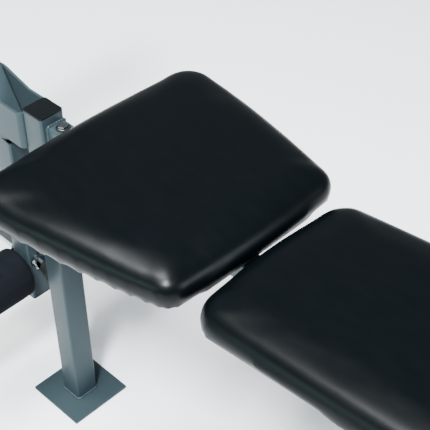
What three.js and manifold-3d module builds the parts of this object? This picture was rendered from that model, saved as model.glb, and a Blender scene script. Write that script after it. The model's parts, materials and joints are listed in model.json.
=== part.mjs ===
// A plate-loaded seated cable row with a leg lever, in millimetres, +Z up.
// The origin is the middle of the front foot plate's underside. +X runs along the bench from the
// front post, where the leg lever hangs, to the cable tower. +Y runs across the bench.

import * as THREE from 'three';
import { mergeVertices } from 'three/addons/utils/BufferGeometryUtils.js';
import Module from 'manifold-3d';

const wasm = await Module();
wasm.setup();

// ---- Driving dimensions ----

const TUBE = 40; // main square tube
const RAIL = 30; // lighter square tube
const WALL = 2;
const TUBE_CORNER = 4;
const GAP = 0.3; // left between pieces that touch
const MERGE = 1; // how far shapes that are joined run into each other
const PLATE = 4; // bent and flat plate
const SIDES_OF_ROUND = 16; // facets round a turned piece
const SIDES_OF_WHEEL = 24; // and round a large one

const FOOT_PLATE = 110;
const POST_TOP = 579; // top of the post's plastic cap
const CAP_RIM = 2.5;
const CAP_PLUG = 14;

const BENCH_Y = 4.5; // the rails and pads sit off the post's middle
const SEAT_RAIL_TOP = 562;
const SEAT_RAIL_END = 352;
const SEAT_BOLT = { x: 36, radius: 4, flats: 13, head: 3.5, washer: 8, washerHeight: 1.2 };
const LONG_RAIL_TOP = 546.7; // at its start
const LONG_RAIL_START = 375;
const LONG_RAIL_BEVEL_DEG = 28;
const BACK_TILT_DEG = 5.9; // the long rail and its pad rise towards the tower
const TONGUE = { reach: 85, thickness: 5 };
const STRAP = 3; // cross straps under the boards
const SEAT_STRAPS = { seat_strap_front: [125, 260], seat_strap_rear: [320, 200] };
const BACK_STRAPS = { back_strap_front: [120, 200], back_strap_rear: [600, 200] };

// Pads: front and rear run along the rail, and the half-widths are at the pad's corners.
// The waist is the height of the pad's widest line.
const SEAT_PAD = {
  front: 80, rear: 400, frontHalf: 203.5, rearHalf: 144.5, frontRadius: 47, rearRadius: 34,
  height: 44.5, waist: 18,
};
const BACK_PAD = {
  front: 37, rear: 677, frontHalf: 135, rearHalf: 135, frontRadius: 45, rearRadius: 45,
  height: 38.5, waist: 12,
};
const EDGE_BOW = 4.5; // how far a pad's edges bow out at their middle
const PAD_FOOT_INSET = 10;
const PAD_CROWN_INSET = 27;
const BOARD = 10;
const BOARD_INSET = 12;

const PIVOT = { x: -117, z: 555 };
const LEVER_X = -85.7; // middle of the lever's upright arm
const LEVER_BOTTOM = 180;
const LEVER_LEAN_DEG = 28; // the upper arm's lean from upright, away from the seat
const UPPER_ARM = 250; // pivot to the upper arm's end
const BRACKET = {
  inside: 21.5, bottom: 510.5, top: 570, bend: 9,
  ear: 30, topEnd: -60, bottomEnd: -70, earFrom: 76, earTo: 250,
};
const PIVOT_BOLT = { radius: 6, flats: 19, head: 8, washer: 12, washerHeight: 2 };
const BUSH = 9;

const SHAFT = 9.5;
const ROLLER = { radius: 42.5, bore: 10.5, length: 165, start: 24, edge: 9 };
const LOWER_ROLLER_Z = 236;
const UPPER_ROLLER_REACH = 220; // along the upper arm from the pivot
const ROLLER_CAP = { radius: 24, face: 22, rim: 4 };
const HORN = 12.5; // radius of every plate horn
const HORN_CHAMFER = 2;
const HORN_Z = 255;
const LEVER_HORN = { length: 190, flange: 22 };
const STUD = { washer: 16, washerHeight: 3, radius: 11.5, length: 18 };
const BUMPER = { foot: 13, flare: 19, face: 14, edge: 6 };

const COLUMN_X = 1190;
const COLUMN_TOP = 1230;
const CROSS_FEET = { front: { x: 1110, length: 520 }, rear: { x: 1400, length: 620 } };
const GUIDE_ROD = 10;
const GUIDE_X = 1275;
const GUIDE_Y = 90;
const GUIDE_PLATE = { width: 240, thickness: 8, corner: 6, rear: 30 };
const ROPE_HOLE = 9;
const STOP = { radius: 20, height: 32, edge: 6 };
const SLEEVE = { inner: 10.4, outer: 16, height: 200 };
const CARRIAGE_HORN = { rise: 170, length: 180, collar: 30, collarRadius: 26 };
const EYE = { ring: 12, wire: 4, rise: 26, shank: 5, flats: 17, head: 5 };

const ROW_PULLEY = { x: 1110, z: 740, radius: 45 };
const TOP_PULLEY = { x: 1215, z: 1310, radius: 60 };
const PULLEY = { groove: 8, halfWidth: 10, hub: 12, bore: 6.15, rim: 3, grooveFloor: 1.5, web: 4 };
const AXLE = { flats: 16, head: 6.5 };
const FORK = { spread: 14, nose: 16, foot: 30, noseEdge: 0.2 }; // spread is the inside half-width
const FOOTREST = { z: 450, halfWidth: 225, plateY: 170, plateWidth: 110, plateHeight: 250, lip: 45 };

// ---- Materials, one for each mesh ----

const finish = (color, roughness, metalness) => () =>
  new THREE.MeshStandardMaterial({ color, roughness, metalness });
const silverPaint = finish(0x9aa5aa, 0.42, 0.45);
const chrome = finish(0xd8dcdf, 0.12, 1.0);
const zinc = finish(0xb4b8ba, 0.32, 0.9);
const blackPlastic = finish(0x1d2123, 0.5, 0.0);
const foam = finish(0x24262a, 0.92, 0.0);
const rubber = finish(0x151617, 0.75, 0.0);
const vinyl = finish(0x0d1012, 0.38, 0.0);
const plywood = finish(0xa9875c, 0.8, 0.0);

// ---- Solids: joining, cutting and turning ----

function signedVolume(geometry) {
  const place = geometry.getAttribute('position');
  const index = geometry.getIndex();
  const corners = [new THREE.Vector3(), new THREE.Vector3(), new THREE.Vector3()];
  let volume = 0;
  for (let i = 0; i < index.count; i += 3) {
    corners.forEach((corner, j) => corner.fromBufferAttribute(place, index.getX(i + j)));
    volume += corners[0].dot(corners[1].cross(corners[2])) / 6;
  }
  return volume;
}

// Merges shared vertices, drops the triangles that this leaves empty and turns every face outward.
function closed(geometry) {
  const bare = geometry.clone();
  bare.deleteAttribute('normal');
  bare.deleteAttribute('uv');
  const merged = mergeVertices(bare, 1e-4);
  const index = merged.getIndex().array;
  const kept = [];
  for (let i = 0; i < index.length; i += 3) {
    const [a, b, c] = index.slice(i, i + 3);
    if (a !== b && b !== c && c !== a) {
      kept.push(a, b, c);
    }
  }
  merged.setIndex(kept);
  if (signedVolume(merged) < 0) {
    merged.getIndex().array.reverse();
  }
  return merged;
}

function toManifold(geometry) {
  const merged = closed(geometry);
  return new wasm.Manifold(new wasm.Mesh({
    numProp: 3,
    vertProperties: Float32Array.from(merged.getAttribute('position').array),
    triVerts: Uint32Array.from(merged.getIndex().array),
  }));
}

function toGeometry(manifold) {
  const mesh = manifold.getMesh();
  const geometry = new THREE.BufferGeometry();
  geometry.setAttribute('position', new THREE.BufferAttribute(Float32Array.from(mesh.vertProperties), 3));
  geometry.setIndex(new THREE.BufferAttribute(Uint32Array.from(mesh.triVerts), 1));
  return geometry;
}

const join = (...parts) => toGeometry(parts.map(toManifold).reduce((sum, part) => sum.add(part)));
const cut = (body, ...tools) =>
  toGeometry(tools.map(toManifold).reduce((rest, tool) => rest.subtract(tool), toManifold(body)));
const common = (first, second) => toGeometry(toManifold(first).intersect(toManifold(second)));

const alongX = (geometry) => geometry.rotateY(Math.PI / 2);
const alongY = (geometry) => geometry.rotateX(-Math.PI / 2);

// ---- Basic shapes, each standing on the origin along +Z ----

function roundedRectangle(width, height, radius, shape = new THREE.Shape()) {
  const x = width / 2 - radius;
  const y = height / 2 - radius;
  shape.absarc(x, y, radius, 0, Math.PI / 2);
  shape.absarc(-x, y, radius, Math.PI / 2, Math.PI);
  shape.absarc(-x, -y, radius, Math.PI, 1.5 * Math.PI);
  shape.absarc(x, -y, radius, 1.5 * Math.PI, 2 * Math.PI);
  shape.closePath();
  return shape;
}

function extrude(shape, depth, curveSegments = 4) {
  return new THREE.ExtrudeGeometry(shape, { depth, curveSegments, bevelEnabled: false });
}

function squareTube(size, length) {
  const shape = roundedRectangle(size, size, TUBE_CORNER);
  const inside = size - 2 * WALL;
  shape.holes.push(roundedRectangle(inside, inside, TUBE_CORNER - WALL, new THREE.Path()));
  return extrude(shape, length, 3);
}

const block = (x, y, z) => new THREE.BoxGeometry(x, y, z).translate(0, 0, z / 2);

function rod(radius, length, sides = SIDES_OF_ROUND) {
  return new THREE.CylinderGeometry(radius, radius, length, sides)
    .rotateX(Math.PI / 2).translate(0, 0, length / 2);
}

// Turns a closed outline of [radius, height] pairs about Z.
function turned(outline, sides = SIDES_OF_ROUND) {
  const points = [...outline, outline[0]].map(([radius, height]) => new THREE.Vector2(radius, height));
  return new THREE.LatheGeometry(points, sides).rotateX(Math.PI / 2);
}

const sleeve = (inner, outer, length) =>
  turned([[inner, 0], [outer, 0], [outer, length], [inner, length]]);

function hexagon(acrossFlats, height) {
  return rod(acrossFlats / Math.sqrt(3), height, 6);
}

const across = (radius, x, z) => alongY(rod(radius, 4 * TUBE)).translate(x, -2 * TUBE, z);

function tubeCap(size) {
  const rim = extrude(roundedRectangle(size, size, TUBE_CORNER), CAP_RIM, 3);
  const inside = size - 2 * WALL - 2 * GAP;
  const plug = extrude(roundedRectangle(inside, inside, TUBE_CORNER - WALL), CAP_PLUG, 3);
  return join(rim, plug.translate(0, 0, GAP - CAP_PLUG));
}

// ---- The assembly ----

const group = new THREE.Group();

function add(name, geometry, material, x = 0, y = 0, z = 0) {
  const mesh = new THREE.Mesh(closed(geometry), material());
  mesh.name = name;
  mesh.position.set(x, y, z);
  group.add(mesh);
}

const SIDES = [['left', -1], ['right', 1]];

function addFrontPost() {
  const postFoot = PLATE + GAP;
  const postTop = POST_TOP - CAP_RIM - GAP;
  add('front_foot_plate', extrude(roundedRectangle(FOOT_PLATE, FOOT_PLATE, 2), PLATE, 2), silverPaint);
  add('front_post', squareTube(TUBE, postTop - postFoot), silverPaint, 0, 0, postFoot);
  add('front_post_cap', tubeCap(TUBE), blackPlastic, 0, 0, postTop + GAP);
}

// The bolt's shank runs up from the underside of its head, which has a washer face.
function hexBolt({ radius, flats, head, washer, washerHeight }, length) {
  return join(
    rod(radius, length + MERGE).translate(0, 0, -MERGE),
    rod(washer, washerHeight).translate(0, 0, -washerHeight),
    hexagon(flats, head + MERGE).translate(0, 0, -washerHeight - head),
  );
}

function addSeatRail() {
  const start = TUBE / 2 + GAP;
  const hole = rod(SEAT_BOLT.radius + GAP, 3 * WALL).translate(SEAT_BOLT.x, 0, -2 * WALL);
  const tube = alongX(squareTube(RAIL, SEAT_RAIL_END - start)).translate(start, 0, -RAIL / 2);
  add('seat_rail', cut(tube, hole), silverPaint, 0, BENCH_Y, SEAT_RAIL_TOP);
  const bolt = hexBolt(SEAT_BOLT, RAIL - 2 * WALL - GAP).rotateX(Math.PI);
  add('seat_rail_bolt', bolt, zinc, SEAT_BOLT.x, BENCH_Y, SEAT_RAIL_TOP + GAP);
}

// Places for what lies on each rail: along the rail from x = 0, with z = 0 at the rail's top.
const backTilt = THREE.MathUtils.degToRad(BACK_TILT_DEG);
const onSeatRail = (geometry) => geometry.translate(0, BENCH_Y, SEAT_RAIL_TOP);
const onLongRail = (geometry) =>
  geometry.rotateY(-backTilt).translate(LONG_RAIL_START, BENCH_Y, LONG_RAIL_TOP);

// The long rail starts with a slanted end just past the seat rail, and is cut upright at the column.
// A tongue welded in under its top reaches across and is bolted to the seat rail's end.
function addLongRail() {
  const lead = RAIL;
  const column = COLUMN_X - TUBE / 2 - GAP;
  const tube = alongX(squareTube(RAIL, column - LONG_RAIL_START + 2 * lead)).translate(-lead, 0, -RAIL / 2);
  const slant = block(4 * RAIL, 2 * RAIL, 4 * RAIL).translate(-2 * RAIL, 0, -2 * RAIL)
    .rotateY(THREE.MathUtils.degToRad(LONG_RAIL_BEVEL_DEG));
  const beyond = block(4 * RAIL, 2 * RAIL, 8 * RAIL)
    .translate(column + 2 * RAIL, BENCH_Y, LONG_RAIL_TOP - 4 * RAIL);
  const width = RAIL - 2 * WALL;
  const foot = block(PLATE, width, RAIL - 2 * PLATE)
    .translate(SEAT_RAIL_END + GAP + PLATE / 2, BENCH_Y, LONG_RAIL_TOP - WALL - RAIL / 2);
  const start = SEAT_RAIL_END + GAP - LONG_RAIL_START + PLATE / 2;
  const tongue = block(TONGUE.reach, width, TONGUE.thickness)
    .translate(start + TONGUE.reach / 2, 0, -WALL - TONGUE.thickness);
  const rail = cut(onLongRail(cut(tube, slant)), beyond);
  add('long_rail', join(rail, foot, onLongRail(tongue)), silverPaint);
}

function addCrossStraps(straps, place) {
  for (const [name, [x, length]] of Object.entries(straps)) {
    add(name, place(block(RAIL, length, STRAP).translate(x, 0, GAP)), silverPaint);
  }
}

// Points and outward directions round a pad's outline, with round corners.
function padCorners(pad, steps = 7) {
  const corners = [
    [pad.rear, pad.rearHalf, pad.rearRadius], [pad.front, pad.frontHalf, pad.frontRadius],
    [pad.front, -pad.frontHalf, pad.frontRadius], [pad.rear, -pad.rearHalf, pad.rearRadius],
  ].map(([x, y, radius]) => ({ place: new THREE.Vector2(x, y), radius }));
  return corners.map(({ place, radius }, i) => {
    const before = corners[(i + 3) % 4].place.clone().sub(place).normalize();
    const after = corners[(i + 1) % 4].place.clone().sub(place).normalize();
    const halfAngle = Math.acos(before.dot(after)) / 2;
    const inward = before.clone().add(after).normalize();
    const centre = place.clone().addScaledVector(inward, radius / Math.sin(halfAngle));
    const startAngle = Math.atan2(before.x, -before.y);
    const sweep = Math.PI - 2 * halfAngle;
    return Array.from({ length: steps + 1 }, (_, step) => {
      const angle = startAngle + (sweep * step) / steps;
      const out = new THREE.Vector2(Math.cos(angle), Math.sin(angle));
      return { point: centre.clone().addScaledVector(out, radius), out };
    });
  });
}

// Joins the round corners by edges that bow out.
function padOutline(pad, steps = 6) {
  const corners = padCorners(pad);
  return corners.flatMap((corner, i) => {
    const from = corner.at(-1);
    const to = corners[(i + 1) % 4][0];
    const edge = [];
    for (let step = 1; step < steps; step += 1) {
      const t = step / steps;
      const bow = EDGE_BOW * 4 * t * (1 - t);
      const point = from.point.clone().lerp(to.point, t).addScaledVector(from.out, bow);
      edge.push({ point, out: from.out });
    }
    return [...corner, ...edge];
  });
}

// Stacks rings of the outline, each a given inset in from the edge, and closes both ends.
function padSolid(pad, layers) {
  const outline = padOutline(pad);
  const count = outline.length;
  const middle = new THREE.Vector2((pad.front + pad.rear) / 2, 0);
  const vertices = [];
  const triangles = [];
  for (const [inset, height] of layers) {
    for (const { point, out } of outline) {
      vertices.push(point.x - inset * out.x, point.y - inset * out.y, height);
    }
  }
  for (let layer = 0; layer + 1 < layers.length; layer += 1) {
    for (let i = 0; i < count; i += 1) {
      const next = (i + 1) % count;
      const low = layer * count;
      const high = low + count;
      triangles.push(low + i, low + next, high + next, low + i, high + next, high + i);
    }
  }
  const top = (layers.length - 1) * count;
  const bottomCentre = vertices.length / 3;
  vertices.push(middle.x, middle.y, layers[0][1], middle.x, middle.y, layers.at(-1)[1]);
  for (let i = 0; i < count; i += 1) {
    const next = (i + 1) % count;
    triangles.push(bottomCentre, next, i, bottomCentre + 1, top + i, top + next);
  }
  const geometry = new THREE.BufferGeometry();
  geometry.setAttribute('position', new THREE.BufferAttribute(Float32Array.from(vertices), 3));
  geometry.setIndex(triangles);
  return geometry;
}

// A board on the straps, and a cushion on it that is widest at the waist and rolls over to its top.
function addPad(name, pad, place) {
  const base = STRAP + 2 * GAP;
  const boardTop = base + BOARD;
  const foamBase = BOARD + GAP;
  const layers = [[PAD_FOOT_INSET * (1 - foamBase / pad.waist), base + foamBase], [0, base + pad.waist]];
  for (const turn of [30, 50, 70, 90]) {
    const angle = THREE.MathUtils.degToRad(turn);
    const height = pad.waist + (pad.height - pad.waist) * Math.sin(angle);
    layers.push([PAD_CROWN_INSET * (1 - Math.cos(angle)), base + height]);
  }
  add(`${name}_board`, place(padSolid(pad, [[BOARD_INSET, base], [BOARD_INSET, boardTop]])), plywood);
  add(`${name}_cushion`, place(padSolid(pad, layers)), vinyl);
}

// A plate bent to a U round the lever: the web lies on the post and the ears hold the pivot.
function addPivotBracket() {
  const { inside, bottom, top, bend, ear, topEnd, bottomEnd, earFrom, earTo } = BRACKET;
  const outside = inside + PLATE;
  const back = -TUBE / 2 - GAP;
  const tip = PIVOT.x - ear;
  const plan = new THREE.Shape();
  plan.moveTo(tip, -outside);
  plan.lineTo(back - bend, -outside);
  plan.absarc(back - bend, -outside + bend, bend, -Math.PI / 2, 0);
  plan.absarc(back - bend, outside - bend, bend, 0, Math.PI / 2);
  plan.lineTo(tip, outside);
  plan.lineTo(tip, inside);
  plan.lineTo(back - bend, inside);
  plan.absarc(back - bend, outside - bend, bend - PLATE, Math.PI / 2, 0, true);
  plan.absarc(back - bend, -outside + bend, bend - PLATE, 0, -Math.PI / 2, true);
  plan.lineTo(tip, -inside);
  plan.closePath();
  const folded = extrude(plan, 2 * ear + top - bottom, 5).translate(0, 0, bottom - ear);

  const side = new THREE.Shape();
  side.moveTo(back + MERGE, bottom);
  side.lineTo(back + MERGE, top);
  side.lineTo(topEnd, top);
  side.absarc(PIVOT.x, PIVOT.z, ear, THREE.MathUtils.degToRad(earFrom), THREE.MathUtils.degToRad(earTo));
  side.lineTo(bottomEnd, bottom);
  side.closePath();
  const outline = extrude(side, 4 * outside, 12).rotateX(Math.PI / 2).translate(0, 2 * outside, 0);
  const hole = across(PIVOT_BOLT.radius + GAP / 2, PIVOT.x, PIVOT.z);
  add('pivot_bracket', cut(common(folded, outline), hole), silverPaint);
}

function addPivotBolt() {
  const outside = BRACKET.inside + PLATE + GAP;
  const { radius, flats, head, washer, washerHeight } = PIVOT_BOLT;
  const nutHeight = head + washerHeight;
  const bolt = hexBolt(PIVOT_BOLT, 2 * outside + nutHeight + PLATE);
  add('pivot_bolt', alongY(bolt), zinc, PIVOT.x, -outside, PIVOT.z);
  const body = join(rod(washer, washerHeight), hexagon(flats, nutHeight));
  const nut = cut(body, rod(radius + GAP, 4 * nutHeight).translate(0, 0, -nutHeight));
  add('pivot_nut', alongY(nut), zinc, PIVOT.x, outside, PIVOT.z);
}

// ---- The leg lever ----

const lean = THREE.MathUtils.degToRad(LEVER_LEAN_DEG);
const kneeZ = PIVOT.z - (LEVER_X - PIVOT.x) / Math.tan(lean);
const upperPlace = (reach) => [PIVOT.x - reach * Math.sin(lean), PIVOT.z + reach * Math.cos(lean)];

function mitredArm(length, angle) {
  const spare = TUBE;
  const tube = squareTube(TUBE, length + spare).translate(0, 0, -spare);
  const waste = block(4 * TUBE, 2 * TUBE, 2 * TUBE).translate(0, 0, -2 * TUBE).rotateY(angle);
  return cut(tube, waste);
}

function addLeverArm() {
  const lowerLength = kneeZ - LEVER_BOTTOM - CAP_RIM - GAP;
  const upperLength = UPPER_ARM + (LEVER_X - PIVOT.x) / Math.sin(lean);
  const upper = mitredArm(upperLength, lean / 2).rotateY(-lean);
  const lower = mitredArm(lowerLength, -lean / 2).rotateX(Math.PI);
  const arm = join(upper, lower).translate(LEVER_X, 0, kneeZ);
  const [upperX, upperZ] = upperPlace(UPPER_ROLLER_REACH);
  const holes = [
    across(BUSH + GAP, PIVOT.x, PIVOT.z),
    across(SHAFT + GAP, upperX, upperZ),
    across(SHAFT + GAP, LEVER_X, LOWER_ROLLER_Z),
  ];
  add('lever_arm', cut(arm, ...holes), silverPaint);
  const bush = sleeve(PIVOT_BOLT.radius + GAP, BUSH, TUBE + 2 * MERGE);
  add('lever_bush', alongY(bush), zinc, PIVOT.x, -TUBE / 2 - MERGE, PIVOT.z);

  const [endX, endZ] = upperPlace(UPPER_ARM + GAP);
  add('lever_top_cap', tubeCap(TUBE).rotateY(-lean), blackPlastic, endX, 0, endZ);
  const lowCap = tubeCap(TUBE).rotateX(Math.PI);
  add('lever_bottom_cap', lowCap, blackPlastic, LEVER_X, 0, LEVER_BOTTOM + CAP_RIM);
}

// A foam tube with soft edges, its bore left open for the shaft.
function foamRoller() {
  const { radius, bore, length, edge } = ROLLER;
  const outline = [[bore, 0]];
  for (const [centre, start] of [[edge, -90], [length - edge, 0]]) {
    for (const turn of [0, 30, 60, 90]) {
      const angle = THREE.MathUtils.degToRad(start + turn);
      outline.push([radius - edge + edge * Math.cos(angle), centre + edge * Math.sin(angle)]);
    }
  }
  outline.push([bore, length]);
  return turned(outline, SIDES_OF_WHEEL);
}

function addRollerPair(prefix, x, z) {
  const { radius, face, rim } = ROLLER_CAP;
  const reach = ROLLER.start + ROLLER.length + 2 * GAP;
  const shaft = sleeve(SHAFT - WALL, SHAFT, 2 * reach);
  add(`${prefix}_roller_shaft`, alongY(shaft), chrome, x, -reach, z);
  for (const [side, sign] of SIDES) {
    const turn = sign < 0 ? Math.PI : 0;
    const roller = alongY(foamRoller()).rotateZ(turn);
    add(`${prefix}_roller_${side}`, roller, foam, x, sign * ROLLER.start, z);
    const plug = SHAFT - WALL - GAP;
    const cap = turned([
      [0, -CAP_PLUG], [plug, -CAP_PLUG], [plug, 0], [radius, 0], [face, rim], [0, rim],
    ]);
    add(`${prefix}_roller_cap_${side}`, alongY(cap).rotateZ(turn), blackPlastic, x, sign * (reach + GAP), z);
  }
}

// The end of a plate horn of a given length, as [radius, height] pairs.
const hornEnd = (length) => [[HORN, length - HORN_CHAMFER], [HORN - HORN_CHAMFER, length], [0, length]];

function addLeverHorn() {
  const rear = LEVER_X - TUBE / 2 - GAP;
  const { length, flange } = LEVER_HORN;
  const horn = turned([[0, 0], [flange, 0], [flange, PLATE], [HORN, PLATE], ...hornEnd(length)]);
  add('lever_horn', alongX(horn).rotateZ(Math.PI), chrome, rear, 0, HORN_Z);
}

function addBumper() {
  const front = LEVER_X + TUBE / 2 + GAP;
  const contact = -TUBE / 2 - 2 * GAP;
  const { washer, washerHeight, radius, length: reach } = STUD;
  const stud = turned([
    [0, 0], [washer, 0], [washer, washerHeight], [radius, washerHeight], [radius, reach], [0, reach],
  ]);
  add('bumper_stud', alongX(stud), chrome, front, 0, HORN_Z);
  const { foot, flare, face, edge } = BUMPER;
  const start = front + reach + GAP;
  const length = contact - start;
  const bumper = turned([[0, 0], [foot, 0], [flare, length - edge], [face, length], [0, length]]);
  add('bumper', alongX(bumper), rubber, start, 0, HORN_Z);
}

// ---- The cable tower ----

function addTowerBase() {
  const beamStart = CROSS_FEET.front.x + TUBE / 2 + GAP;
  const beamLength = CROSS_FEET.rear.x - TUBE / 2 - GAP - beamStart;
  add('base_beam', alongX(squareTube(TUBE, beamLength)), silverPaint, beamStart, 0, TUBE / 2);
  for (const [place, { x, length }] of Object.entries(CROSS_FEET)) {
    add(`${place}_cross_foot`, alongY(squareTube(TUBE, length)), silverPaint, x, -length / 2, TUBE / 2);
    for (const [side, sign] of SIDES) {
      const cap = alongY(tubeCap(TUBE)).rotateZ(sign < 0 ? Math.PI : 0);
      add(`${place}_foot_cap_${side}`, cap, blackPlastic, x, sign * (length / 2 + GAP), TUBE / 2);
    }
  }
  const foot = TUBE + GAP;
  add('column', squareTube(TUBE, COLUMN_TOP - foot), silverPaint, COLUMN_X, 0, foot);
}

// Two upright rods between a low plate on the base beam and a high plate on top of the column.
function addGuides() {
  const { width, thickness, corner, rear } = GUIDE_PLATE;
  const lowFront = COLUMN_X + TUBE / 2 + GAP;
  const highFront = COLUMN_X - TUBE / 2;
  const end = GUIDE_X + rear;
  const plate = (front) => extrude(roundedRectangle(end - front, width, corner), thickness, 3)
    .translate((front + end) / 2, 0, 0);
  const low = TUBE + GAP;
  const high = COLUMN_TOP + GAP;
  const ropeHole = rod(ROPE_HOLE, 3 * thickness).translate(GUIDE_X, 0, -thickness);
  add('guide_plate_low', plate(lowFront), silverPaint, 0, 0, low);
  add('guide_plate_high', cut(plate(highFront), ropeHole), silverPaint, 0, 0, high);
  const rodFoot = low + thickness + GAP;
  for (const [side, sign] of SIDES) {
    add(`guide_rod_${side}`, rod(GUIDE_ROD, high - GAP - rodFoot), chrome, GUIDE_X, sign * GUIDE_Y, rodFoot);
  }
  const { radius, height, edge } = STOP;
  const stop = turned([[0, 0], [radius, 0], [radius, height - edge], [radius - edge, height], [0, height]]);
  add('carriage_stop', stop, rubber, GUIDE_X, 0, rodFoot);
  return rodFoot + height + GAP;
}

// A welded frame of two sleeves and two cross tubes, with a plate horn on each side.
function addCarriage(foot) {
  const { rise, length, collar, collarRadius } = CARRIAGE_HORN;
  const between = 2 * (GUIDE_Y - SLEEVE.inner - MERGE);
  const crossTube = (size, z) => alongY(squareTube(size, between)).translate(0, -between / 2, z);
  const pieces = [crossTube(TUBE, rise), crossTube(RAIL, RAIL / 2)];
  const bores = [];
  for (const [, sign] of SIDES) {
    const y = sign * GUIDE_Y;
    pieces.push(rod(SLEEVE.outer, SLEEVE.height).translate(0, y, 0));
    bores.push(rod(SLEEVE.inner, 2 * SLEEVE.height).translate(0, y, -SLEEVE.height / 2));
  }
  add('carriage_frame', cut(join(...pieces), ...bores), silverPaint, GUIDE_X, 0, foot);

  const horn = () => turned([
    [0, 0], [HORN, 0], [HORN, collar], [collarRadius, collar], [collarRadius, collar + PLATE],
    [HORN, collar + PLATE], ...hornEnd(length),
  ]);
  const hornZ = foot + rise;
  for (const [side, sign] of SIDES) {
    const piece = alongY(horn()).rotateZ(sign < 0 ? Math.PI : 0);
    add(`carriage_horn_${side}`, piece, chrome, GUIDE_X, sign * (GUIDE_Y + SLEEVE.outer + GAP), hornZ);
  }
  const ring = new THREE.TorusGeometry(EYE.ring, EYE.wire, 8, 20)
    .rotateY(Math.PI / 2).translate(0, 0, EYE.rise);
  const shank = rod(EYE.shank, EYE.rise - EYE.ring + EYE.wire / 2);
  const eye = join(ring, shank, hexagon(EYE.flats, EYE.head));
  add('carriage_eye', eye, zinc, GUIDE_X, 0, hornZ + TUBE / 2 + GAP);
}

// A grooved wheel across the bench, the axle bolt through it and the fork that holds them.
// The fork is its side outline's full width with the middle cut out down to the web.
function addPulley(name, { x, z, radius }, forkSide, middle) {
  const { groove, halfWidth, hub, bore, rim, grooveFloor, web } = PULLEY;
  const root = radius - groove;
  const half = [
    [bore, halfWidth], [hub, halfWidth], [root - web, halfWidth - web], [radius, halfWidth],
    [radius, halfWidth - rim], [root, grooveFloor],
  ];
  const mirrored = half.map(([distance, height]) => [distance, -height]).reverse();
  add(`${name}_pulley`, alongY(turned([...half, ...mirrored], SIDES_OF_WHEEL)), blackPlastic, x, 0, z);

  const reach = FORK.spread + PLATE;
  const span = 2 * (reach + GAP);
  const axle = join(
    rod(bore - GAP / 2, span + 2 * MERGE).translate(0, 0, -MERGE),
    hexagon(AXLE.flats, AXLE.head).translate(0, 0, -AXLE.head),
    hexagon(AXLE.flats, AXLE.head).translate(0, 0, span),
  );
  add(`${name}_pulley_axle`, alongY(axle), zinc, x, -reach - GAP, z);

  const fork = extrude(forkSide, 2 * reach, 10).rotateX(Math.PI / 2).translate(0, reach, 0);
  add(`${name}_pulley_fork`, cut(fork, middle, across(bore + GAP / 2, x, z)), silverPaint);
}

function addPulleys() {
  const { spread, nose, foot, noseEdge } = FORK;
  const face = COLUMN_X - TUBE / 2 - GAP;
  const row = ROW_PULLEY;
  const rowSide = new THREE.Shape();
  rowSide.moveTo(face, row.z + foot);
  rowSide.absarc(row.x, row.z, nose, Math.PI / 2 - noseEdge, 1.5 * Math.PI + noseEdge);
  rowSide.lineTo(face, row.z - foot);
  rowSide.closePath();
  const rowMiddle = block(row.radius * 4, 2 * spread, row.radius * 4)
    .translate(face - PLATE - row.radius * 2, 0, row.z - row.radius * 2);
  addPulley('row', row, rowSide, rowMiddle);

  const top = TOP_PULLEY;
  const base = COLUMN_TOP + GUIDE_PLATE.thickness + 2 * GAP;
  const topSide = new THREE.Shape();
  topSide.moveTo(top.x - foot, base);
  topSide.lineTo(top.x + foot, base);
  topSide.absarc(top.x, top.z, nose, -noseEdge, Math.PI + noseEdge);
  topSide.closePath();
  const topMiddle = block(top.radius * 4, 2 * spread, top.radius * 4).translate(top.x, 0, base + PLATE);
  addPulley('top', top, topSide, topMiddle);
}

// A bar of steel angle on the column with a lipped plate for each foot.
function addFootrest() {
  const { z, halfWidth, plateY, plateWidth, plateHeight, lip } = FOOTREST;
  const back = COLUMN_X - TUBE / 2 - GAP;
  const angle = new THREE.Shape();
  angle.moveTo(0, 0);
  angle.lineTo(-RAIL, 0);
  angle.lineTo(-RAIL, RAIL);
  angle.lineTo(PLATE - RAIL, RAIL);
  angle.lineTo(PLATE - RAIL, PLATE);
  angle.lineTo(0, PLATE);
  angle.closePath();
  const bar = extrude(angle, 2 * halfWidth).rotateX(Math.PI / 2).translate(0, halfWidth, 0);
  add('foot_bar', bar, silverPaint, back, 0, z);
  const profile = new THREE.Shape();
  profile.moveTo(-lip, 0);
  profile.lineTo(PLATE, 0);
  profile.lineTo(PLATE, plateHeight);
  profile.lineTo(0, plateHeight);
  profile.lineTo(0, PLATE);
  profile.lineTo(-lip, PLATE);
  profile.closePath();
  const faceX = back - RAIL - GAP - PLATE;
  for (const [side, sign] of SIDES) {
    const plate = extrude(profile, plateWidth).rotateX(Math.PI / 2).translate(0, plateWidth / 2, 0);
    add(`foot_plate_${side}`, plate, silverPaint, faceX, sign * plateY, z - plateHeight / 3);
  }
}

addFrontPost();
addSeatRail();
addLongRail();
addCrossStraps(SEAT_STRAPS, onSeatRail);
addCrossStraps(BACK_STRAPS, onLongRail);
addPad('seat', SEAT_PAD, onSeatRail);
addPad('back', BACK_PAD, onLongRail);
addPivotBracket();
addPivotBolt();
addLeverArm();
addRollerPair('lower', LEVER_X, LOWER_ROLLER_Z);
addRollerPair('upper', ...upperPlace(UPPER_ROLLER_REACH));
addLeverHorn();
addBumper();
addTowerBase();
addCarriage(addGuides());
addPulleys();
addFootrest();

export default group;
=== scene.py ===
"""The looks of a seated cable row, in metres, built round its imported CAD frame."""

import json
import math

import bmesh
import bpy
from mathutils import Matrix, Vector


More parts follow.
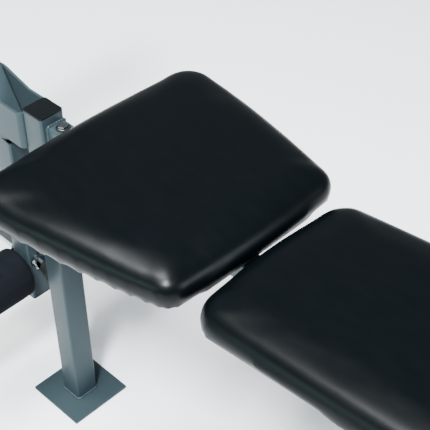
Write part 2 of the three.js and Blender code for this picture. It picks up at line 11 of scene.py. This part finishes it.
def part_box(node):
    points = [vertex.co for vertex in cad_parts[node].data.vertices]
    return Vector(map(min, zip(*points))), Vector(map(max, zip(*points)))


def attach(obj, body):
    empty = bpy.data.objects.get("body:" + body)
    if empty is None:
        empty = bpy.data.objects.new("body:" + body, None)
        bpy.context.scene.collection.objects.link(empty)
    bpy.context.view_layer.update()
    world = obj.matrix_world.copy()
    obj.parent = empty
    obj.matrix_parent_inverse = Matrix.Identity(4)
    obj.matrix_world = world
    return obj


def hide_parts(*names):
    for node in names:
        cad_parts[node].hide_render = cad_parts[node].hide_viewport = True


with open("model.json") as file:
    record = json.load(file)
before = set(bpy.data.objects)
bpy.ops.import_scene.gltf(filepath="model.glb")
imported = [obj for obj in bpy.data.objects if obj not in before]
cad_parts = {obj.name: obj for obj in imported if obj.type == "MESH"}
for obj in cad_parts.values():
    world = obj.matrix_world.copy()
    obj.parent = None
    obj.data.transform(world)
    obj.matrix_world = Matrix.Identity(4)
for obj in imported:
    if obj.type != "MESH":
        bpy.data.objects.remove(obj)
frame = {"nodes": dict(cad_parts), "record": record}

NODES = frame["nodes"]
SLOT_OF = {part["node"]: part["material_slot"] for part in frame["record"]["subparts"]}
BODY_OF = {n: body for body, names in frame["record"]["behaviour"]["bodies"].items() for n in names}
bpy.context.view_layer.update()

MM = 0.001

# ---- Camera: its place in metres, angles in degrees, lens and sensor in millimetres ----
CAMERA_PLACE = Vector((1.0615, -0.7189, 1.4802))
CAMERA_HEADING = 45.48
CAMERA_ELEVATION = 41.05
CAMERA_ROLL = -0.94
CAMERA_LENS = 95.28
SENSOR = 36

# ---- Shapes ----
FLOOR_HALF = 12  # metres
MERGE = 0.01 * MM  # vertices closer than this are made one
LEVEL = 1 * MM  # points closer than this along an axis count as level
FLAT_ANGLE = math.radians(0.5)  # faces that meet flatter than this are made one
FACING = 0.9  # a face looks along an axis when its normal reaches this far along it
BEVEL = 0.5 * MM
BEVEL_SEGMENTS = 2
SMOOTH_ANGLE = math.radians(35)
CREASE_ANGLE = math.radians(40)
TURNED_LEVELS = 2  # rounds of subdivision
WELD = 2.6 * MM  # the bead's middle radius
WELD_CORNER = 1.2 * MM  # how far the bead cuts in at a corner, along each side
WELD_RIPPLE = 4.5 * MM  # from one ripple to the next
RIPPLE_STEPS = 4
RIPPLE_SHARE = 0.14  # of the bead's radius
WANDER_SHARE = 0.08
WANDER_TURN = 0.37  # radians in a step
VOXEL = 5 * MM
CUSHION_SHRINK = 1.2 * MM  # how far a cover starts inside its CAD cushion
FOOT_HEIGHT = 2 * MM  # only points above this are pulled in
HELD_HEIGHT = 9 * MM  # points below this are held still as a cover swells
FOOT_TUCK = 3 * MM  # how far the cover turns in as it wraps the board's edge
FOOT_DROP = 0.25 * MM  # how far its underside lies below the board
SWELL = 0.4  # share of the simulated swelling that a firm foam core leaves
CUSHION_LIMIT = 3 * MM
PRESSURE = 4
RELAX_BEFORE = 6  # rounds of smoothing
RELAX_AFTER = 8
RELAX_FACTOR = 0.5
COVER_LEVELS = 1
SIMULATION_FRAMES = 20
# The dark ring round the rail bolt's washer: painted shade, a dark rubber ring put where the shadow
# round the washer's rim falls.
PAINTED_SHADE_RING = {"inner": 8.3 * MM, "outer": 10.4 * MM, "height": 1.2 * MM, "steps": 48}

# Round nodes and their sides: each is turned about an axis through the middle of its box.
TURNED = {
    "guide_rod_left": ("z", 16), "guide_rod_right": ("z", 16), "carriage_stop": ("z", 16),
    "lever_horn": ("x", 16), "bumper_stud": ("x", 16), "bumper": ("x", 16),
    "lower_roller_shaft": ("y", 16), "upper_roller_shaft": ("y", 16),
    "carriage_horn_left": ("y", 16), "carriage_horn_right": ("y", 16), "lever_bush": ("y", 16),
    "row_pulley": ("y", 24), "top_pulley": ("y", 24),
}
for height in ("lower", "upper"):
    for side in ("left", "right"):
        TURNED[f"{height}_roller_cap_{side}"] = ("y", 16)
        TURNED[f"{height}_roller_{side}"] = ("y", 24)
CUSHIONS = {"seat_cushion": "seat_board", "back_cushion": "back_board"}
# Tube ends that carry a weld bead: the node, the axis, and whether it is the end further along it.
WELDED_ENDS = (
    ("front_post", "z", False), ("seat_rail", "x", False), ("long_rail", "x", True),
    ("column", "z", False), ("base_beam", "x", False), ("base_beam", "x", True),
)

# ---- Looks ----
NOISE_RANGE = (0.3, 0.7)  # where nearly all of a noise's values lie
FLAKE_RANGE = (0.1, 0.7)
PATCHES_SHARE = 0.5
LIGHTS_AIM = (0.35, 0, 0.5)
# Each light's place and size in metres, its power in watts and its colour.
LIGHTS = {
    "key": ((1.1, -1.47, 3.0), (0.45, 0.45), 420, (0.90, 0.96, 1.0)),
    "overhead": ((-0.3, -0.9, 3.8), (1.6, 1.6), 440, (0.97, 0.99, 1.0)),
    "left": ((-0.5, -2.9, 1.2), (1.8, 1.0), 40, (0.70, 1.0, 0.90)),
    "right": ((3.3, 0.9, 1.7), (1.6, 1.2), 100, (0.80, 0.86, 1.0)),
}
WORLD_COLOUR = (0.9, 0.95, 0.97)
WORLD_STRENGTH = 0.5


# ---- Materials ----

class Shader:
    """A node material with one Principled shader, patterned in each object's own coordinates."""

    def __init__(self, name):
        self.material = bpy.data.materials.new(name)
        self.material.use_nodes = True
        self.tree = self.material.node_tree
        self.surface = self.tree.nodes["Principled BSDF"]
        self.place = self.tree.nodes.new("ShaderNodeTexCoord").outputs["Object"]

    def node(self, kind, **settings):
        made = self.tree.nodes.new("ShaderNode" + kind)
        for key, value in settings.items():
            setattr(made, key, value)
        return made

    def link(self, start, end):
        self.tree.links.new(start, end)

    def stretched(self, scale):
        mapping = self.node("Mapping")
        mapping.inputs["Scale"].default_value = scale
        self.link(self.place, mapping.inputs["Vector"])
        return mapping.outputs["Vector"]

    def noise(self, scale, detail=3, roughness=0.5, stretch=None):
        made = self.node("TexNoise")
        self.link(self.stretched(stretch) if stretch else self.place, made.inputs["Vector"])
        made.inputs["Scale"].default_value = scale
        made.inputs["Detail"].default_value = detail
        made.inputs["Roughness"].default_value = roughness
        return made.outputs["Fac"]

    def cells(self, scale, feature="F1"):
        made = self.node("TexVoronoi", feature=feature)
        self.link(self.place, made.inputs["Vector"])
        made.inputs["Scale"].default_value = scale
        return made.outputs["Distance"]

    def ramp(self, value, low, high, start=0.0, end=1.0):
        made = self.node("MapRange")
        self.link(value, made.inputs["Value"])
        made.inputs["From Min"].default_value = start
        made.inputs["From Max"].default_value = end
        made.inputs["To Min"].default_value = low
        made.inputs["To Max"].default_value = high
        return made.outputs["Result"]

    def colours(self, value, first, second):
        made = self.node("Mix", data_type="RGBA")
        self.link(value, made.inputs["Factor"])
        made.inputs["A"].default_value = (*first, 1)
        made.inputs["B"].default_value = (*second, 1)
        return made.outputs["Result"]

    def bump(self, layers):
        """Stacks (height, strength, distance) layers and links them to the surface's normal."""
        normal = None
        for height, strength, distance in layers:
            made = self.node("Bump")
            made.inputs["Strength"].default_value = strength
            made.inputs["Distance"].default_value = distance
            self.link(height, made.inputs["Height"])
            if normal is not None:
                self.link(normal, made.inputs["Normal"])
            normal = made.outputs["Normal"]
        self.link(normal, self.surface.inputs["Normal"])

    def set(self, **values):
        for name, value in values.items():
            socket = self.surface.inputs[name.replace("_", " ")]
            if isinstance(value, bpy.types.NodeSocket):
                self.link(value, socket)
            else:
                socket.default_value = value


def silver_paint():
    """Satin metallic paint: a fine flake, a slight orange peel and faint rubbed patches."""
    s = Shader("silver_paint")
    flakes = s.cells(1500)
    flake = s.ramp(flakes, 0, 1, *FLAKE_RANGE)
    patches = s.ramp(s.noise(9, 4), 0, 1, *NOISE_RANGE)
    base = s.colours(flake, (0.0270, 0.0400, 0.0450), (0.0200, 0.0310, 0.0355))
    worn = s.node("Mix", data_type="RGBA", blend_type="MULTIPLY")
    worn.inputs["Factor"].default_value = PATCHES_SHARE
    s.link(base, worn.inputs["A"])
    s.link(s.colours(patches, (0.86, 0.88, 0.88), (1, 1, 1)), worn.inputs["B"])
    s.set(Base_Color=worn.outputs["Result"], Metallic=0.25, Roughness=s.ramp(patches, 0.34, 0.44),
          Specular_IOR_Level=0.10)
    s.bump([(s.noise(420, 2), 0.10, 0.2 * MM), (flakes, 0.05, 0.1 * MM)])
    return s.material


def chrome():
    """Bright plate with a little haze and a faint unevenness."""
    s = Shader("chrome")
    haze = s.noise(60, 4)
    s.set(Base_Color=s.colours(haze, (0.30, 0.33, 0.35), (0.38, 0.41, 0.42)), Metallic=1.0,
          Roughness=s.ramp(haze, 0.06, 0.16, *NOISE_RANGE))
    s.bump([(s.noise(900, 2), 0.03, 0.1 * MM)])
    return s.material


def zinc():
    """Bright zinc with cloudy passivation."""
    s = Shader("zinc")
    cloud = s.noise(140, 5, 0.6)
    s.set(Base_Color=s.colours(cloud, (0.075, 0.090, 0.10), (0.13, 0.14, 0.145)), Metallic=0.95,
          Roughness=s.ramp(cloud, 0.22, 0.42, *NOISE_RANGE))
    s.bump([(s.noise(1200, 3), 0.08, 0.1 * MM)])
    return s.material


def black_plastic():
    """Moulded plastic with a spark-eroded grain."""
    s = Shader("black_plastic")
    grain = s.noise(1400, 3)
    s.set(Base_Color=s.colours(s.noise(40, 3), (0.0006, 0.0011, 0.0014), (0.0016, 0.0024, 0.0028)),
          Roughness=s.ramp(grain, 0.42, 0.58, *NOISE_RANGE), Specular_IOR_Level=0.1)
    s.bump([(grain, 0.25, 0.15 * MM)])
    return s.material


def foam():
    """Closed-cell foam with a matt skin, open pores and soft dents."""
    s = Shader("foam")
    pores = s.cells(900)
    s.set(Base_Color=s.colours(s.noise(70, 4), (0.0015, 0.0020, 0.0030), (0.0035, 0.0042, 0.0060)),
          Roughness=s.ramp(pores, 0.95, 0.8), Specular_IOR_Level=0.06)
    s.bump([(s.noise(45, 3), 0.35, 1.2 * MM), (pores, 0.5, 0.25 * MM)])
    return s.material


def rubber():
    """Dull rubber with a dusty bloom."""
    s = Shader("rubber")
    bloom = s.noise(55, 5, 0.6)
    s.set(Base_Color=s.colours(bloom, (0.002, 0.002, 0.0025), (0.007, 0.007, 0.007)),
          Roughness=s.ramp(bloom, 0.6, 0.82, *NOISE_RANGE), Specular_IOR_Level=0.15)
    s.bump([(s.noise(800, 3), 0.2, 0.15 * MM)])
    return s.material


def vinyl():
    """Upholstery vinyl: a fine pebble grain over soft stretch marks."""
    s = Shader("vinyl")
    pebbles = s.cells(1150, "SMOOTH_F1")
    stretch = s.noise(26, 4, 0.55, stretch=(1, 2.5, 1))
    tone = s.noise(7, 3)
    s.set(Base_Color=s.colours(tone, (0.0003, 0.0008, 0.0010), (0.0005, 0.0010, 0.0016)),
          Roughness=s.ramp(stretch, 0.30, 0.36, *NOISE_RANGE), Specular_IOR_Level=0.09)
    s.bump([(stretch, 0.05, 0.8 * MM), (pebbles, 0.16, 0.12 * MM)])
    return s.material


def plywood():
    """Birch plywood: long grain on the faces and thin plies on the edge."""
    s = Shader("plywood")
    grain = s.noise(14, 6, 0.6, stretch=(1, 14, 60))
    pores = s.noise(90, 3, 0.5, stretch=(1, 30, 30))
    wood = s.colours(s.ramp(grain, 0, 1, *NOISE_RANGE), (0.20, 0.12, 0.06), (0.32, 0.21, 0.12))
    s.set(Base_Color=wood, Roughness=s.ramp(pores, 0.62, 0.82))
    s.bump([(grain, 0.2, 0.3 * MM), (pores, 0.3, 0.15 * MM)])
    return s.material


MAKERS = (silver_paint, chrome, zinc, black_plastic, foam, rubber, vinyl, plywood)
MATERIALS = {make.__name__: make() for make in MAKERS}


# ---- Mesh helpers ----

def place_piece(obj, slot, body, nodes=()):
    """Gives a finished piece its material and body, and hides the CAD nodes that it stands for."""
    obj.data.materials.clear()
    obj.data.materials.append(MATERIALS[slot])
    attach(obj, body)
    if nodes:
        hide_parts(*nodes)


def new_object(name, mesh):
    obj = bpy.data.objects.new(name, mesh)
    bpy.context.scene.collection.objects.link(obj)
    return obj


def mesh_from(name, bm):
    mesh = bpy.data.meshes.new(name)
    bm.to_mesh(mesh)
    bm.free()
    return mesh


def merged_copy(node):
    """The node's mesh with shared vertices joined and its flat faces made whole."""
    bm = bmesh.new()
    bm.from_mesh(NODES[node].data)
    bmesh.ops.remove_doubles(bm, verts=bm.verts, dist=MERGE)
    bmesh.ops.dissolve_limit(bm, angle_limit=FLAT_ANGLE, verts=bm.verts, edges=bm.edges)
    return bm


def smooth(mesh):
    mesh.shade_smooth()
    mesh.set_sharp_from_angle(angle=SMOOTH_ANGLE)


def polish(node):
    """A finished copy of a flat-sided node, with its edges eased."""
    mesh = mesh_from(f"{node}.fine", merged_copy(node))
    smooth(mesh)
    obj = new_object(f"{node}.fine", mesh)
    bevel = obj.modifiers.new("eased", "BEVEL")
    bevel.width = BEVEL
    bevel.segments = BEVEL_SEGMENTS
    bevel.limit_method = "ANGLE"
    bevel.angle_limit = SMOOTH_ANGLE
    bevel.harden_normals = True
    place_piece(obj, SLOT_OF[node], BODY_OF[node], [node])


def limit_growth(sides):
    """How much a ring of corners must grow for its subdivided curve to keep the ring's radius.

    Each corner ends up at four sixths of itself and one sixth of each neighbour.
    """
    return 6 / (4 + 2 * math.cos(2 * math.pi / sides))


def round_off(node):
    """A finished copy of a turned node, with its facets rounded and its real edges kept."""
    axis, sides = TURNED[node]
    low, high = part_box(node)
    middle = (low + high) / 2
    bm = merged_copy(node)
    grow = limit_growth(sides)
    along = "xyz".index(axis)
    for vertex in bm.verts:
        for i in range(3):
            if i != along:
                vertex.co[i] = middle[i] + (vertex.co[i] - middle[i]) * grow
    crease = bm.edges.layers.float.new("crease_edge")
    for edge in bm.edges:
        if edge.calc_face_angle(0) > CREASE_ANGLE:
            edge[crease] = 1
    mesh = mesh_from(f"{node}.fine", bm)
    smooth(mesh)
    obj = new_object(f"{node}.fine", mesh)
    subdivision = obj.modifiers.new("round", "SUBSURF")
    subdivision.levels = TURNED_LEVELS
    subdivision.render_levels = TURNED_LEVELS
    place_piece(obj, SLOT_OF[node], BODY_OF[node], [node])


def swept(name, path, radius_at, sides=10):
    """A closed tube along a closed path of points, with a radius that varies along it."""
    bm = bmesh.new()
    rings = []
    count = len(path)
    across = (path[1] - path[-1]).orthogonal()
    for i, point in enumerate(path):
        ahead = (path[(i + 1) % count] - path[i - 1]).normalized()
        across = (across - ahead * across.dot(ahead)).normalized()
        other = ahead.cross(across)
        radius = radius_at(i)
        rings.append([
            bm.verts.new(point + radius * (across * math.cos(turn) + other * math.sin(turn)))
            for turn in (2 * math.pi * j / sides for j in range(sides))
        ])
    for i, ring in enumerate(rings):
        following = rings[(i + 1) % count]
        for j in range(sides):
            k = (j + 1) % sides
            bm.faces.new((ring[j], ring[k], following[k], following[j]))
    bmesh.ops.recalc_face_normals(bm, faces=bm.faces)
    mesh = mesh_from(name, bm)
    mesh.shade_smooth()
    return new_object(name, mesh)


def end_rectangle(node, axis, high_end):
    """The corners of the rectangle in which a node ends along an axis."""
    along = "xyz".index(axis)
    low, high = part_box(node)
    end = (high if high_end else low)[along]
    near = [v.co for v in NODES[node].data.vertices if abs(v.co[along] - end) < LEVEL]
    first, second = [i for i in range(3) if i != along]
    bounds = [[pick(co[i] for co in near) for pick in (min, max)] for i in (first, second)]
    corners = []
    for a, b in ((0, 0), (1, 0), (1, 1), (0, 1)):
        corner = Vector((end, end, end))
        corner[first] = bounds[0][a]
        corner[second] = bounds[1][b]
        corners.append(corner)
    return corners


def bead_path(corners):
    """Even steps round a rectangle, leaving out the steps beside each cut corner."""
    path = []
    for i, corner in enumerate(corners):
        following = corners[(i + 1) % len(corners)]
        before = (corners[i - 1] - corner).normalized()
        after = (following - corner).normalized()
        steps = round((following - corner).length / (WELD_RIPPLE / RIPPLE_STEPS))
        path.append(corner + (before + after) * WELD_CORNER)
        for step in range(2, steps - 1):
            path.append(corner.lerp(following, step / steps))
    return path


def bead_radius(i):
    """The bead's radius at a step of its path: regular ripples and a slow wander."""
    ripple = RIPPLE_SHARE * math.sin(2 * math.pi * i / RIPPLE_STEPS)
    wander = WANDER_SHARE * math.sin(i * WANDER_TURN)
    return WELD * (1 + ripple + wander)


def weld_end(node, axis, high_end):
    """A rippled bead round the end of a tube."""
    path = bead_path(end_rectangle(node, axis, high_end))
    bead = swept(f"{node}.weld_{axis}{'_far' if high_end else ''}", path, bead_radius)
    place_piece(bead, "silver_paint", BODY_OF[node])


def bolt_painted_shade_ring():
    """A dark rubber ring, round in section, under the rim of the rail bolt's washer: painted shade,
    standing for the shadow round the washer's rim.
    """
    low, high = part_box("seat_rail_bolt")
    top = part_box("seat_rail")[1].z
    middle = Vector(((low.x + high.x) / 2, (low.y + high.y) / 2, top + PAINTED_SHADE_RING["height"] / 2))
    radius = (PAINTED_SHADE_RING["inner"] + PAINTED_SHADE_RING["outer"]) / 2
    thickness = (PAINTED_SHADE_RING["outer"] - PAINTED_SHADE_RING["inner"]) / 2
    turns = [2 * math.pi * i / PAINTED_SHADE_RING["steps"] for i in range(PAINTED_SHADE_RING["steps"])]
    path = [middle + radius * Vector((math.cos(turn), math.sin(turn), 0)) for turn in turns]
    ring = swept("seat_rail_bolt.painted_shade_ring", path, lambda i: thickness)
    # Painted shade: this dark rubber ring stands for the shadow round the washer's rim.
    place_piece(ring, "rubber", "frame")


# ---- Cushions ----

def board_axes(board):
    """A matrix from a board's own axes to the row frame: x along it, z out of its face."""
    mesh = NODES[board].data
    normal = Vector()
    for polygon in mesh.polygons:
        if polygon.normal.z > FACING:
            normal += polygon.normal * polygon.area
    up = normal.normalized()
    across = Vector((0, 1, 0))
    along = across.cross(up).normalized()
    turn = Matrix((along, across, up)).transposed().to_4x4()
    corners = [turn.transposed() @ v.co for v in mesh.vertices]
    low = Vector([min(c[i] for c in corners) for i in range(3)])
    high = Vector([max(c[i] for c in corners) for i in range(3)])
    base = Vector(((low.x + high.x) / 2, (low.y + high.y) / 2, low.z))
    return turn @ Matrix.Translation(base)


def wrap_board(bm):
    """Opens the cushion's underside and carries its rim down round the board's edge, closed below."""
    floor = min(v.co.z for v in bm.verts)
    bottom = [f for f in bm.faces if f.normal.z < -FACING and f.calc_center_median().z < floor + LEVEL]
    bmesh.ops.delete(bm, geom=bottom, context="FACES")
    rim = [e for e in bm.edges if e.is_boundary]
    made = bmesh.ops.extrude_edge_only(bm, edges=rim)["geom"]
    lowered = [v for v in made if isinstance(v, bmesh.types.BMVert)]
    for vertex in lowered:
        outward = Vector((vertex.co.x, vertex.co.y, 0)).normalized()
        vertex.co -= outward * FOOT_TUCK
        vertex.co.z = -FOOT_DROP
    bmesh.ops.edgeloop_fill(bm, edges=[e for e in made if isinstance(e, bmesh.types.BMEdge)])
    bmesh.ops.recalc_face_normals(bm, faces=bm.faces)


def cushion_start(node, board):
    """The cushion's CAD solid in its board's axes, wrapped round the board and pulled in a little."""
    axes = board_axes(board)
    bm = merged_copy(node)
    bmesh.ops.transform(bm, matrix=axes.inverted(), verts=bm.verts)
    wrap_board(bm)
    for vertex in bm.verts:
        if vertex.co.z > FOOT_HEIGHT:
            vertex.co.x -= math.copysign(CUSHION_SHRINK, vertex.co.x)
            vertex.co.y -= math.copysign(CUSHION_SHRINK, vertex.co.y)
            vertex.co.z -= CUSHION_SHRINK
    return new_object(f"{node}.cover", mesh_from(f"{node}.cover", bm)), axes


def remesh(obj):
    modifier = obj.modifiers.new("remesh", "REMESH")
    modifier.mode = "VOXEL"
    modifier.voxel_size = VOXEL
    apply_modifiers(obj)


def apply_modifiers(obj):
    """Replaces the object's mesh by what its modifiers make of it."""
    evaluated = obj.evaluated_get(bpy.context.evaluated_depsgraph_get())
    mesh = bpy.data.meshes.new_from_object(evaluated)
    obj.modifiers.clear()
    obj.data = mesh


def inflate(obj):
    """Swells the cover by cloth simulation, its foot held still, no point moving past the limit."""
    rest = [v.co.copy() for v in obj.data.vertices]
    held = obj.vertex_groups.new(name="held")
    held.add([v.index for v in obj.data.vertices if v.co.z < HELD_HEIGHT], 1, "REPLACE")
    cloth = obj.modifiers.new("cloth", "CLOTH")
    settings = cloth.settings
    settings.vertex_group_mass = "held"
    settings.use_pressure = True
    settings.uniform_pressure_force = PRESSURE
    settings.effector_weights.gravity = 0
    cloth.point_cache.frame_end = SIMULATION_FRAMES
    scene = bpy.context.scene
    for step in range(1, SIMULATION_FRAMES + 1):
        scene.frame_set(step)
    evaluated = obj.evaluated_get(bpy.context.evaluated_depsgraph_get())
    swollen = [v.co.copy() for v in evaluated.data.vertices]
    obj.modifiers.remove(cloth)
    scene.frame_set(1)
    for vertex, start, end in zip(obj.data.vertices, rest, swollen):
        move = (end - start) * SWELL
        if move.length > CUSHION_LIMIT:
            move *= CUSHION_LIMIT / move.length
        vertex.co = start + move


def relax(obj, rounds):
    """Evens out the stair steps that the voxels leave."""
    bm = bmesh.new()
    bm.from_mesh(obj.data)
    free = [v for v in bm.verts if v.co.z > LEVEL]
    for _ in range(rounds):
        bmesh.ops.smooth_vert(bm, verts=free, factor=RELAX_FACTOR,
                              use_axis_x=True, use_axis_y=True, use_axis_z=True)
    bm.to_mesh(obj.data)
    bm.free()


def fit_to(obj, node, axes):
    """Stretches the cover, above its foot, to the box of the CAD cushion in the board's axes."""
    goal = [axes.inverted() @ v.co for v in NODES[node].data.vertices]
    have = [v.co for v in obj.data.vertices]
    for i in range(3):
        goal_low, goal_high = min(p[i] for p in goal), max(p[i] for p in goal)
        low, high = min(p[i] for p in have), max(p[i] for p in have)
        if i == 2:
            goal_low, low = 0, 0
        scale = (goal_high - goal_low) / (high - low)
        for vertex in obj.data.vertices:
            vertex.co[i] = goal_low + (vertex.co[i] - low) * scale


def cushion(node, board):
    """A cushion's soft cover, evened out, swelled and fitted to the size of its CAD solid."""
    obj, axes = cushion_start(node, board)
    remesh(obj)
    relax(obj, RELAX_BEFORE)
    inflate(obj)
    relax(obj, RELAX_AFTER)
    subdivision = obj.modifiers.new("fine", "SUBSURF")
    subdivision.levels = COVER_LEVELS
    apply_modifiers(obj)
    fit_to(obj, node, axes)
    obj.data.transform(axes)
    obj.data.shade_smooth()
    place_piece(obj, "vinyl", "frame", [node])


# ---- Stage ----

def build_floor():
    """A wide pale matt floor, with the faint mottle of a painted studio sweep."""
    bm = bmesh.new()
    bmesh.ops.create_grid(bm, x_segments=1, y_segments=1, size=FLOOR_HALF)
    floor = new_object("floor", mesh_from("floor", bm))
    s = Shader("floor")
    mottle = s.noise(3, 3)
    s.set(Base_Color=s.colours(mottle, (0.74, 0.745, 0.75), (0.76, 0.76, 0.76)),
          Roughness=s.ramp(mottle, 0.85, 0.95), Specular_IOR_Level=0.1)
    floor.data.materials.append(s.material)


def area_light(name, place, size, power, colour):
    data = bpy.data.lights.new(name, "AREA")
    data.shape = "RECTANGLE"
    data.size, data.size_y = size
    data.energy = power
    data.color = colour
    light = bpy.data.objects.new(name, data)
    bpy.context.scene.collection.objects.link(light)
    light.location = place
    light.rotation_euler = (Vector(LIGHTS_AIM) - Vector(place)).to_track_quat("-Z", "Y").to_euler()


def build_lights():
    """A key over the camera's left shoulder, an overhead, and greenish -Y and bluish +X fills."""
    for name, (place, size, power, colour) in LIGHTS.items():
        area_light(name, place, size, power, colour)
    world = bpy.data.worlds.new("studio")
    world.use_nodes = True
    background = world.node_tree.nodes["Background"]
    background.inputs["Color"].default_value = (*WORLD_COLOUR, 1)
    background.inputs["Strength"].default_value = WORLD_STRENGTH
    bpy.context.scene.world = world


def build_camera():
    data = bpy.data.cameras.new("camera")
    data.sensor_width = SENSOR
    data.lens = CAMERA_LENS
    camera = bpy.data.objects.new("camera", data)
    bpy.context.scene.collection.objects.link(camera)
    heading = Matrix.Rotation(math.radians(CAMERA_HEADING), 4, "Z")
    pitch = Matrix.Rotation(math.radians(90 - CAMERA_ELEVATION), 4, "X")
    roll = Matrix.Rotation(math.radians(CAMERA_ROLL), 4, "Z")
    camera.matrix_world = Matrix.Translation(CAMERA_PLACE) @ heading @ pitch @ roll
    bpy.context.scene.camera = camera


build_camera()
build_floor()
build_lights()

for node, board in CUSHIONS.items():
    cushion(node, board)
for node in NODES:
    if node in TURNED:
        round_off(node)
    elif node not in CUSHIONS:
        polish(node)
bolt_painted_shade_ring()
for node, axis, high_end in WELDED_ENDS:
    weld_end(node, axis, high_end)
